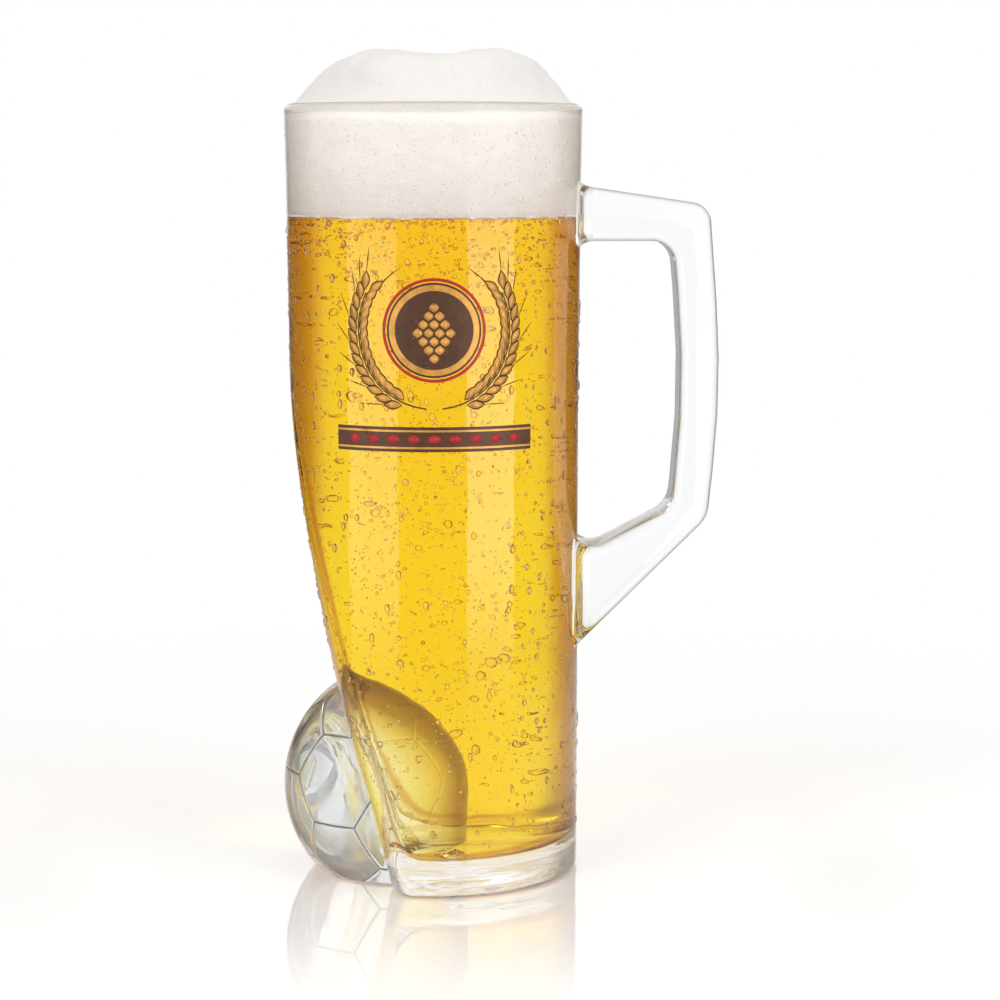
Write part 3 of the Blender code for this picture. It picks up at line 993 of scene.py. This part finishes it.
class MUG_OT_foam(bpy.types.Operator):
    """Puts foam in the neck and a crown over the rim"""
    bl_idname = "beer_mug.foam"
    bl_label = "Foam"

    def execute(self, context):
        shape = settings().glass
        filling = settings().filling
        floor = beer_level(shape, filling) - filling.seat
        top = shape.height
        inset = shape.wall - filling.seat
        crown_radius = barrel_radius(shape, top) - filling.crown_setback
        seat = top + CROWN_SEAT
        profile = [(0.0, floor)]
        widths = between(HEIGHT_STEP, shape.barrel_radius - inset, HEIGHT_STEP)
        profile += [(radius, floor) for radius in widths]
        profile += [(barrel_radius(shape, z) - inset, z) for z in between(floor, seat, FOAM_STEP)[1:]]
        for turn in reversed(quarter(CROWN_STEPS)):
            share = math.sin(turn)
            rise = filling.crown_height * (1.0 - share ** filling.crown_flatness) ** filling.crown_shoulder
            profile.append((crown_radius * share, seat + rise))
        foam = turned("foam", profile, FOAM_STEPS)
        outward = [vertex.normal.copy() for vertex in foam.data.vertices]
        for vertex, normal in zip(foam.data.vertices, outward):
            lift = min(1.0, max(0.0, (vertex.co.z - seat) / CROWN_EASE))
            if lift > 0.0:
                lump = LUMP * noise.fractal(vertex.co * LUMP_SCALE, 0.6, 2.0, 3)
                broad, fine = [noise.noise(vertex.co * scale) for scale in SWIRL_SCALES]
                hump = HUMP * math.cos(FULL_TURN * (vertex.co.x - HUMP_PLACE) / HUMP_WIDTH)
                vertex.co += normal * lift * (lump + SWIRL * (broad + 0.5 * fine) + hump * lift)
            elif abs(vertex.co.z - floor) < SAME_PLACE:
                vertex.co.z -= SAG * max(0.0, noise.noise(vertex.co * SAG_SCALE))
        smooth(foam, FOAM_SHARP)
        dress(foam, foam_material(filling, top), "foam", "foam_head")
        return {"FINISHED"}


# Small repeated shapes

def stamped(name, template, places):
    """One mesh that holds a copy of a template's mesh at each place."""
    corners = [vertex.co.copy() for vertex in template.data.vertices]
    faces = [tuple(face.vertices) for face in template.data.polygons]
    all_corners = []
    all_faces = []
    for place in places:
        first = len(all_corners)
        all_corners += [place @ corner for corner in corners]
        all_faces += [tuple(first + index for index in face) for face in faces]
    mesh = bpy.data.meshes.new(name)
    mesh.from_pydata(all_corners, [], all_faces)
    mesh.shade_smooth()
    item = bpy.data.objects.new(name, mesh)
    bpy.context.scene.collection.objects.link(item)
    bpy.data.objects.remove(template, do_unlink=True)
    return item


def bubble_places(shape, filling, dice):
    """Places for bubbles in the lager, more of them higher up, and a collar of small ones under the foam."""
    level = beer_level(shape, filling)
    depth = level - shape.foot_thickness
    largest = filling.bubble_radius
    clear_of_dome = shape.ball_radius + 0.002
    under_foam = level - 0.0006
    collar_depth = 0.016
    off_wall = 0.00005
    spots = []
    while len(spots) < filling.bubbles:
        z = shape.foot_thickness + depth * dice.random() ** 0.6
        turn = FULL_TURN * dice.random()
        size = largest * (0.25 + 0.75 * dice.random() ** 2.5)
        radius = wall_radius(shape, turn, z, -shape.wall - 3 * largest) * math.sqrt(dice.random())
        spot = Vector((radius * math.cos(turn), radius * math.sin(turn), z))
        if from_dome(shape, spot).length >= clear_of_dome:
            spots.append((spot, size))
    for _ in range(filling.collar):
        turn = FULL_TURN * dice.random()
        size = largest * (0.2 + 0.6 * dice.random() ** 2)
        z = under_foam - collar_depth * dice.random() ** 3
        spots.append((wall_point(shape, turn, z, -shape.wall - size - off_wall), size))
    return [Matrix.LocRotScale(spot, None, Vector((size, size, size))) for spot, size in spots]


class MUG_OT_bubbles(bpy.types.Operator):
    """Scatters bubbles through the lager"""
    bl_idname = "beer_mug.bubbles"
    bl_label = "Bubbles"

    def execute(self, context):
        filling = settings().filling
        bubble = added("bubble", bpy.ops.mesh.primitive_uv_sphere_add, segments=8, ring_count=6, radius=1.0)
        edit(bubble)
        bpy.ops.transform.resize(value=(1.0, 1.0, 0.93))
        leave_edit()
        places = bubble_places(settings().glass, filling, random.Random(BUBBLE_SEED))
        # The bubbles take painted shade towards their edges.
        gas = clear_net("bubble_gas", WHITE, 1.0 / filling.lager_bend, BUBBLE_EDGE_PAINTED_SHADE)
        dress(stamped("bubbles", bubble, places), gas.owner, "lager")
        return {"FINISHED"}


def under_handle(spot):
    """Whether a place on the barrel is covered by the handle's lands."""
    at_brace = 0.05 < spot.z < 0.094
    at_arm = spot.z > 0.155
    return spot.x > 0.034 and abs(spot.y) < 0.015 and (at_brace or at_arm)


def scattered(shape, level, dice, number, small, large, skew):
    """Places for flat drops on the outside of the barrel, clear of the football and the handle."""
    lowest = 0.012
    height = shape.height - 0.016
    clear_of_ball = shape.ball_radius + 0.002
    places = []
    while len(places) < number:
        z = lowest + height * dice.random()
        turn = FULL_TURN * dice.random()
        size = small + (large - small) * dice.random() ** skew
        if z > level:
            size = min(size, 1.2 * small)
        spot = wall_point(shape, turn, z, 0.0)
        if (spot - ball_centre(shape)).length < clear_of_ball or under_handle(spot):
            continue
        out = wall_normal(shape, turn, z)
        side = Vector((0.0, 0.0, 1.0)).cross(out).normalized()
        stretch = 1.0 + 0.9 * dice.random() ** 2
        axes = Matrix((side * size, out.cross(side) * size * stretch, out * size * 0.5)).transposed().to_4x4()
        places.append(Matrix.Translation(spot) @ axes)
    return places


def drop_template(fineness):
    """A ball cut off below its middle."""
    drop = added("drop", bpy.ops.mesh.primitive_ico_sphere_add, subdivisions=fineness, radius=1.0)
    cut_below(drop, -0.25)
    return drop


class MUG_OT_drops(bpy.types.Operator):
    """Scatters water drops and mist over the outside of the glass"""
    bl_idname = "beer_mug.drops"
    bl_label = "Water drops"

    def execute(self, context):
        shape = settings().glass
        water = settings().water
        level = beer_level(shape, settings().filling)
        dice = random.Random(DROP_SEED)
        finest = water.mist_radius
        # The drops take painted shade towards their edges, weaker over the foam.
        edge_shade_weaker_over_foam = (level - 0.002, level, 1.0, 0.35)
        liquid = clear_net("water", WHITE, water.bend, WATER_EDGE_PAINTED_SHADE, edge_shade_weaker_over_foam).owner
        places = scattered(shape, level, dice, water.drops, finest, water.largest, skew=3.0)
        dress(stamped("water_drops", drop_template(2), places), liquid, "body_glass")
        places = scattered(shape, level, dice, water.mist, 0.5 * finest, 1.3 * finest, skew=1.5)
        dress(stamped("water_mist", drop_template(1), places), liquid, "body_glass")
        return {"FINISHED"}


# The print

def flat_shape(name, outline):
    """A flat face in the plane of the print: across is X, up is Z."""
    item = drawn(name, [Vector((across, 0.0, up)) for across, up in outline], closed=True)
    edit(item)
    bpy.ops.mesh.edge_face_add()
    leave_edit()
    return item


def leaf(name, long, wide):
    """A pointed oval that grows up from the origin."""
    side = [(wide / 2 * math.sin(math.pi * step / 8), long * step / 8) for step in range(9)]
    return flat_shape(name, side + [(-across, up) for across, up in reversed(side[1:-1])])


def ring(name, outer, inner):
    """A flat ring; one with a narrow hole is left a full disc."""
    item = added(name, bpy.ops.mesh.primitive_circle_add, vertices=72, radius=outer, fill_type="NGON",
                 rotation=(math.pi / 2, 0.0, 0.0))
    bpy.ops.object.transform_apply(location=True, rotation=True, scale=True)
    edit(item)
    bpy.ops.mesh.select_mode(type="FACE")
    bpy.ops.mesh.inset(thickness=outer - inner)
    if inner > 0.3 * outer:
        bpy.ops.mesh.delete(type="FACE")
    leave_edit()
    return item


def bar(look, up, tall):
    """A straight bar as long as the band."""
    half = look.band_length / 2
    low = look.band_drop + up - tall / 2
    return flat_shape("bar", [(-half, low), (half, low), (half, low + tall), (-half, low + tall)])


def set_at(across, up, turn):
    """Place of a flat shape in the print, turned anticlockwise."""
    return Matrix.Translation((across, 0.0, up)) @ Matrix.Rotation(-turn, 4, "Y")


def joined(name, items):
    deselect()
    for item in items:
        item.select_set(True)
    bpy.context.view_layer.objects.active = items[0]
    bpy.ops.object.join()
    items[0].name = name
    items[0].data.name = name
    return items[0]


def laid_round(item, shape, look, layer):
    """Slices a flat print into narrow strips and lays it round the front of the barrel."""
    strip = 0.0015
    edit(item)
    for across in between(-look.reach, look.reach, strip):
        bpy.ops.mesh.select_all(action="SELECT")
        bpy.ops.mesh.bisect(plane_co=(across, 0.0, 0.0), plane_no=(1.0, 0.0, 0.0))
    leave_edit()
    for vertex in item.data.vertices:
        turn = -math.pi / 2 + vertex.co.x / shape.barrel_radius
        vertex.co = wall_point(shape, turn, look.height + vertex.co.z, look.layer * (0.7 + layer))
    pick(item)
    modifier = item.modifiers.new("layer", "SOLIDIFY")
    modifier.thickness = look.layer
    modifier.offset = 0.0
    bpy.ops.object.modifier_apply(modifier=modifier.name)
    edit(item)
    bpy.ops.mesh.normals_make_consistent(inside=False)
    leave_edit()


def enamel(name, rgb, metallic, roughness):
    """Fired print: a metal sheen, worn lighter in fine speckles."""
    net = new_net(name)
    cloud = net.noise(scale=420.0, detail=4.0, roughness=0.6)
    grain = net.noise(scale=5200.0, detail=2.0)
    dark = [0.62 * value for value in rgb]
    net.surface({
        "Base Color": net.ramp(cloud * 0.7 + grain * 0.3, [(0.32, dark), (0.62, rgb)]),
        "Metallic": metallic,
        "Roughness": roughness + grain * 0.15,
        "Normal": net.bump(grain, strength=0.12, distance=0.0001),
    })
    return net.owner


def wreath_turns(first, number):
    """Even turns up the wreath from a first one, in degrees under the level."""
    return [math.radians(8.0 * step - first) for step in range(number)]


def barley_places(look, side):
    """Grains on both sides of a curved ear, and the awns at their tips."""
    tip = Matrix.Translation((0.0, 0.0, 0.0036))
    off_stem = 0.00075
    grains = []
    awns = []
    for step, turn in enumerate(wreath_turns(66.0, 13)):
        for lean, off in ((0.40, -off_stem), (-0.40, off_stem)):
            radius = look.wreath + off
            place = set_at(side * radius * math.cos(turn), radius * math.sin(turn), side * (turn + lean))
            grains.append(place)
            if step % 2 == 0 or step > 9:
                awns.append(place @ tip)
    return grains, awns


def stem(look, side):
    """A thin stalk along the wreath."""
    half = 0.0002
    turns = wreath_turns(84.0, 15)
    outline = []
    for radius, way in ((look.wreath + half, turns), (look.wreath - half, turns[::-1])):
        outline += [(side * radius * math.cos(turn), radius * math.sin(turn)) for turn in way]
    return flat_shape("stem", outline)


def hop_places():
    """Scales in rows of one to four and back to one."""
    places = []
    for row in range(7):
        number = 4 - abs(3 - row)
        for scale in range(number):
            across = scale - (number - 1) / 2
            places.append(set_at(0.0027 * across, 0.0068 - 0.0021 * row, math.pi))
    return places


class MUG_OT_print(bpy.types.Operator):
    """Prints a hop cone in a ring, a wreath of barley and a lined band on the glass"""
    bl_idname = "beer_mug.print"
    bl_label = "Print"

    def execute(self, context):
        shape = settings().glass
        look = settings().print_look
        right_grains, right_awns = barley_places(look, 1)
        left_grains, left_awns = barley_places(look, -1)
        grains = right_grains + left_grains
        stems = [stem(look, side) for side in (1, -1)]
        gold = joined("print_gold", [
            stamped("grains", leaf("grain", long=0.0042, wide=0.0017), grains),
            ring("ring", look.medal, 0.87 * look.medal),
            bar(look, up=0.0021, tall=0.0005),
            bar(look, up=-0.0021, tall=0.0005),
        ])
        scales = stamped("print_hop", leaf("scale", long=0.0024, wide=0.0024), hop_places())
        edges = [place @ Matrix.Translation((0.0, 0.0, -0.00028)) for place in grains]
        brown = joined("print_brown", [
            ring("disc", 1.05 * look.medal, 0.2 * look.medal),
            bar(look, up=0.0, tall=0.0062),
            stamped("grain_edges", leaf("grain_edge", long=0.0049, wide=0.0024), edges),
            stamped("awns", leaf("awn", long=0.0070, wide=0.00026), right_awns + left_awns),
        ] + stems)
        diamonds = [set_at(0.0052 * step, look.band_drop - 0.0012, 0.0) for step in range(-4, 5)]
        red = joined("print_red", [
            ring("outer_ring", 1.15 * look.medal, 1.08 * look.medal),
            stamped("diamonds", leaf("diamond", long=0.0024, wide=0.0034), diamonds),
        ])
        metal = enamel("gold_print", look.gold, metallic=0.45, roughness=0.30)
        dark = enamel("brown_print", look.brown, metallic=0.2, roughness=0.35)
        bright = enamel("red_print", look.red, metallic=0.0, roughness=0.35)
        lowest = 0.0
        raised = 1.5
        for item, layer, material in ((brown, lowest, dark), (gold, raised, metal), (scales, raised, metal),
                                      (red, raised, bright)):
            laid_round(item, shape, look, layer)
            dress(item, material, "body_glass")
        return {"FINISHED"}


# The stage

def glow_in_glass(item, net, share, rgb, strength, refracted):
    """A stage piece that only glass shows: it glows by a share and is clear for the rest."""
    glow = net.add("ShaderNodeEmission", values={"Color": opaque(rgb), "Strength": strength})
    net.output("Surface", net.shaders(share, net.add("ShaderNodeBsdfTransparent"), glow))
    item.data.materials.append(net.owner)
    item.visible_camera = False
    item.visible_diffuse = False
    item.visible_shadow = False
    item.visible_transmission = refracted


def reflected_card(name, turn, width, strength):
    """An upright card that faces the mug, at a turn from the camera's side."""
    distance = 0.22
    tall = 0.40
    item = added(name, bpy.ops.mesh.primitive_plane_add, size=1.0)
    toward = Vector((math.sin(turn), -math.cos(turn), 0.0))
    side = Vector((math.cos(turn), math.sin(turn), 0.0))
    up = Vector((0.0, 0.0, tall))
    axes = Matrix((side * width, up, toward)).transposed().to_4x4()
    item.data.transform(Matrix.Translation(toward * distance + up / 2) @ axes)
    net = new_net(name)
    height = net.height()
    share = height.step(0.0, 0.07, 0.0, 1.0) * height.step(0.148, 0.172, 1.0, 0.2)
    glow_in_glass(item, net, share, WHITE, strength, refracted=False)


def make_sides(look):
    """Dark flags at both sides behind the mug, which only reflections show, so that glass has dark edges."""
    wall = added("studio_sides", bpy.ops.mesh.primitive_cylinder_add, vertices=96, radius=0.42, depth=0.21,
                 end_fill_type="NOTHING", location=(0.0, 0.0, 0.0))
    move(wall, z=0.115)
    net = new_net("studio_sides")
    across = net.add("ShaderNodeSeparateXYZ", values={"Vector": net.place()}, output="X")
    swing = across.maths("ABSOLUTE").maths("ARCTAN2", across.of("Y")) * math.degrees(1.0)
    flag = swing.step(18.0, 30.0, 0.0, 1.0) * swing.step(66.0, 84.0, 1.0, 0.0)
    glow_in_glass(wall, net, flag * reflected_only(net), look.side_dark, 1.0, refracted=True)


def reflected_only(net):
    """One for a mirrored ray and nothing for a refracted one."""
    path = net.add("ShaderNodeLightPath", output="Is Glossy Ray")
    return (path - path.of("Is Transmission Ray")).maths("MAXIMUM", 0.0)


def seen_directly(net):
    """One for what the eye sees straight on, mirrored or through glass, and nothing for soft light."""
    path = net.add("ShaderNodeLightPath", output="Is Camera Ray")
    direct = path.maths("MAXIMUM", path.of("Is Glossy Ray"))
    return direct.maths("MAXIMUM", path.of("Is Transmission Ray"))


def room_light(net, look):
    """White where the eye sees it, and the ambient light elsewhere."""
    return look.ambient + seen_directly(net) * (1.0 - look.ambient)


def make_world(look):
    world = bpy.data.worlds.new("white_room")
    bpy.context.scene.world = world
    net = Net(world)
    background = net.tree.nodes["Background"]
    net.feed(background.inputs["Color"], opaque(WHITE))
    net.feed(background.inputs["Strength"], room_light(net, look))


def make_floor(look):
    """Soft ground with the mug's shadow and reflection near it, and plain white farther off."""
    floor = added("floor", bpy.ops.mesh.primitive_circle_add, vertices=96, radius=6.0, fill_type="NGON")
    move(floor, z=-0.0002)
    net = new_net("white_floor")
    matte = net.add("ShaderNodeBsdfDiffuse", values={"Color": (0.80, 0.80, 0.80, 1.0)})
    fill = net.add("ShaderNodeEmission", values={"Strength": seen_directly(net) * 0.32})
    near = net.add("ShaderNodeAddShader", values={0: matte, 1: fill})
    white = room_light(net, look) - reflected_only(net) * 0.6
    far = net.add("ShaderNodeEmission", values={"Strength": white})
    mirror = net.add("ShaderNodeBsdfGlossy", values={"Color": opaque(WHITE), "Roughness": 0.02})
    reach = net.add("ShaderNodeVectorMath", {"operation": "LENGTH"}, {0: net.place()}, output="Value")
    ground = net.shaders(reach.step(0.10, 0.40, 0.0, 1.0), near, far)
    net.output("Surface", net.shaders(reach.step(0.03, 0.15, look.mirror, 0.0), ground, mirror))
    floor.data.materials.append(net.owner)


def make_lamp(name, place, power):
    aim = Vector((0.0, 0.0, 0.12))
    lamp = added(name, bpy.ops.object.light_add, type="AREA", location=place)
    lamp.data.shape = "SQUARE"
    lamp.data.size = 0.8
    lamp.data.energy = power
    lamp.rotation_euler = (aim - Vector(place)).to_track_quat("-Z", "Y").to_euler()
    lamp.visible_camera = False
    lamp.visible_glossy = False


def make_camera(look):
    place = (0.0, -look.camera_distance, look.camera_height)
    camera = added("Camera", bpy.ops.object.camera_add, location=place)
    camera.rotation_euler = (math.pi / 2 - look.camera_pitch, 0.0, -look.camera_yaw)
    camera.data.lens = look.focal
    camera.data.sensor_width = 36.0
    camera.data.clip_start = 0.01
    bpy.context.scene.camera = camera


class MUG_OT_stage(bpy.types.Operator):
    """Sets up the floor, the light and the camera"""
    bl_idname = "beer_mug.stage"
    bl_label = "Stage"

    def execute(self, context):
        look = settings().stage
        make_world(look)
        make_floor(look)
        reflected_card("card_left", turn=math.radians(-46.0), width=0.157, strength=look.left_card)
        reflected_card("card_right", turn=math.radians(42.0), width=0.145, strength=look.right_card)
        make_sides(look)
        make_lamp("lamp_left", place=(-0.9, -1.0, 1.1), power=look.lamp_power)
        make_lamp("lamp_right", place=(1.0, -0.9, 1.0), power=look.lamp_power)
        make_camera(look)
        context.scene.view_settings.view_transform = "Standard"
        light_paths = context.scene.cycles
        light_paths.max_bounces = 32
        light_paths.transmission_bounces = 32
        light_paths.glossy_bounces = 24
        light_paths.diffuse_bounces = 8
        light_paths.blur_glossy = 0.0
        return {"FINISHED"}


class MUG_PT_panel(bpy.types.Panel):
    """Lists the steps that model the mug"""
    bl_idname = "MUG_PT_panel"
    bl_label = "Beer Mug"
    bl_space_type = "VIEW_3D"
    bl_region_type = "UI"
    bl_category = "Beer Mug"

    def draw(self, context):
        for step in STEPS:
            self.layout.operator(step.bl_idname)


STEPS = (MUG_OT_stage, MUG_OT_glass, MUG_OT_lager, MUG_OT_foam, MUG_OT_bubbles, MUG_OT_drops, MUG_OT_print)
GROUPS = (GlassShape, HandleShape, Filling, Water, PrintLook, StageLook, BeerMug)
CLASSES = GROUPS + STEPS + (MUG_PT_panel,)


def register():
    for kind in CLASSES:
        bpy.utils.register_class(kind)
    bpy.types.Scene.beer_mug = bpy.props.PointerProperty(type=BeerMug)


def unregister():
    del bpy.types.Scene.beer_mug
    for kind in reversed(CLASSES):
        bpy.utils.unregister_class(kind)


def main():
    register()
    bpy.ops.beer_mug.stage()
    bpy.ops.beer_mug.glass()
    bpy.ops.beer_mug.lager()
    bpy.ops.beer_mug.foam()
    bpy.ops.beer_mug.bubbles()
    bpy.ops.beer_mug.drops()
    bpy.ops.beer_mug.print()


if __name__ == "__main__":
    main()
